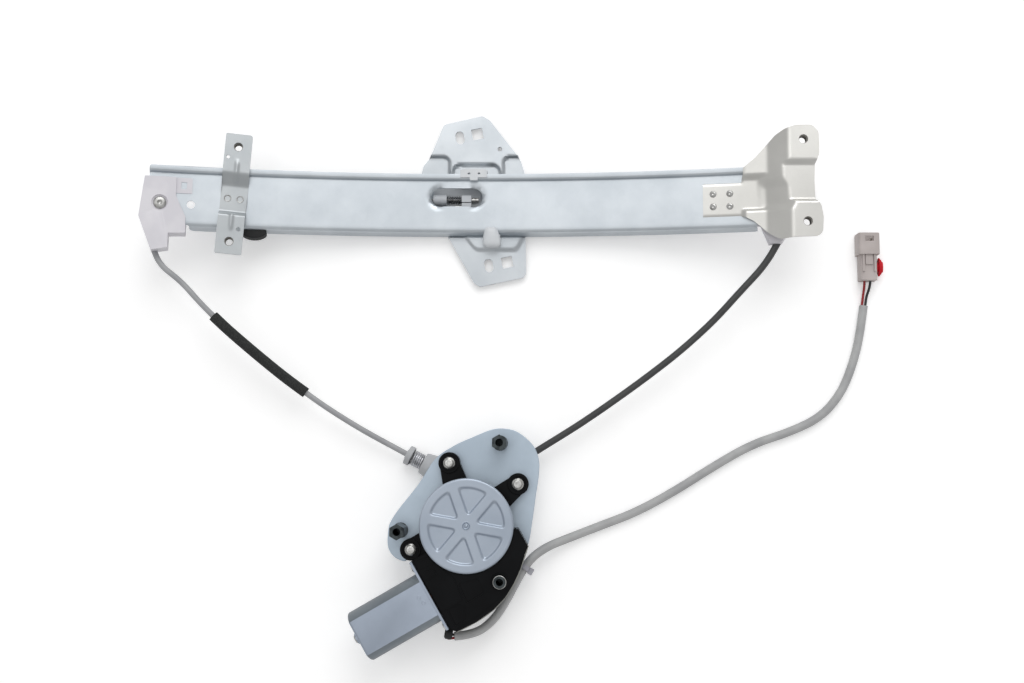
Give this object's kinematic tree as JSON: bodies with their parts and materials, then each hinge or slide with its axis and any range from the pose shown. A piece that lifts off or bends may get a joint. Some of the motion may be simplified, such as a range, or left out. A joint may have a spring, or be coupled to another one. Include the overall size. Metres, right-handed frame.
{
  "type": "window regulator",
  "caption": "Cable-driven window lifter: curved rail, sliding glass carrier, cable conduits, drum housing and worm gear motor with its harness.",
  "frame": {"origin": "on the cable drum's axis, in the flat floor of the drum housing on which the part lies", "axes": "+X along the rail towards the end bracket, +Y from the motor to the rail, +Z towards the side with the motor cover and bolt bosses"},
  "size_m": [0.5252, 0.3828, 0.05],
  "materials": {
    "zinc_steel": "clear zinc plated, satin",
    "end_bracket_steel": "zinc plated, satin",
    "cross_steel": "zinc plated, satin",
    "plate_steel": "galvanised, satin",
    "carrier_steel": "galvanised, satin",
    "cover_steel": "galvanised, satin",
    "can_steel": "galvanised, satin",
    "bright_steel": "bright",
    "cable_steel": "stranded, greased",
    "spring_steel": "oiled",
    "armature_steel": "laminated",
    "white_acetal": "moulded, matt",
    "black_plastic": "moulded, matt",
    "dark_plastic": "moulded, matt",
    "housing_nylon": "moulded, matt",
    "gear_acetal": "moulded, matt",
    "rubber_black": "matt",
    "foam_black": "open cell",
    "grey_conduit": "extruded, matt",
    "black_conduit": "extruded, matt",
    "grey_sheath": "extruded, matt",
    "connector_grey": "moulded, matt",
    "clip_red": "moulded, matt",
    "tie_grey": "moulded, matt",
    "lead_red": "extruded",
    "copper": "enamelled copper",
    "commutator_copper": "turned",
    "ferrite": "pressed, matt",
    "carbon": "pressed, matt",
    "bronze": "sintered",
    "tinned_blade": "tin plated"
  },
  "bodies": {
    "frame": {"guide_rail": "zinc_steel", "end_bracket": "end_bracket_steel", "end_bracket_rivets": "bright_steel", "cross_bracket": "cross_steel", "cross_bracket_rivets": "bright_steel", "weld_nuts": "bright_steel", "left_cable_guide": "white_acetal", "right_cable_guide": "white_acetal", "guide_rivet": "bright_steel", "bump_stop": "rubber_black", "left_conduit": "grey_conduit", "right_conduit": "black_conduit", "foam_sleeve": "foam_black", "left_inner_cable": "cable_steel", "right_inner_cable": "cable_steel", "left_cable_run": "cable_steel", "right_cable_run": "cable_steel", "drum_housing": "housing_nylon", "motor_plate": "plate_steel", "standoffs": "zinc_steel", "motor_screws": "bright_steel", "gear_housing": "black_plastic", "gear_cover": "cover_steel", "gear_cover_seal": "rubber_black", "motor_can": "can_steel", "can_screws": "bright_steel", "field_magnets": "ferrite", "brush_holder": "dark_plastic", "brushes": "carbon", "brush_springs": "spring_steel", "shaft_bushes": "bronze", "thrust_pad": "gear_acetal", "tension_spring": "spring_steel", "tension_seat": "housing_nylon", "lead_boot": "rubber_black", "motor_leads": "lead_red", "harness_sheath": "grey_sheath", "cable_tie": "tie_grey", "connector_leads": "lead_red", "connector_housing": "connector_grey", "connector_terminals": "tinned_blade", "connector_clip": "clip_red"},
    "carrier": {"glass_carrier": "carrier_steel", "top_shoe": "white_acetal", "bottom_shoe": "white_acetal", "cable_anchor": "dark_plastic", "anchor_spring": "spring_steel", "cable_ferrules": "bright_steel"},
    "drum": {"cable_drum": "black_plastic", "cable_wraps": "cable_steel", "worm_wheel": "gear_acetal", "wheel_damper": "rubber_black", "output_shaft": "bright_steel"},
    "armature": {"armature_shaft": "bright_steel", "worm": "bright_steel", "armature_core": "armature_steel", "windings": "copper", "commutator": "commutator_copper"},
    "tension_cap": {"tension_cap": "housing_nylon"}
  },
  "joints": [
    {"name": "armature_spin", "type": "hinge", "parent": "frame", "child": "armature", "pos_m": [0.0146, -0.02529, 0.033], "axis": [0.866, 0.5, 0], "range_deg": [-25288.1, 22140.9]},
    {"name": "drum_turn", "type": "hinge", "parent": "frame", "child": "drum", "pos_m": [0, 0, 0.01], "axis": [0, 0, 1], "range_deg": [-330.46, 377.44]},
    {"name": "carrier_travel", "type": "hinge", "parent": "frame", "child": "carrier", "pos_m": [0.005, 0.225, 0.912], "axis": [0, -1, 0], "range_deg": [-8.02, 9.16], "deforming": ["left_cable_run", "right_cable_run"]},
    {"name": "tension_travel", "type": "slide", "parent": "frame", "child": "tension_cap", "axis": [0.8862, -0.4633, 0], "range_m": [0, 0.0025], "stiffness_N_per_m": 1000, "springref_m": -0.0005, "deforming": ["tension_spring"]}
  ],
  "couplings": [
    {"joint": "drum_turn", "follows": "armature_spin", "ratio": -0.014925},
    {"joint": "carrier_travel", "follows": "armature_spin", "ratio": -0.00036223}
  ]
}
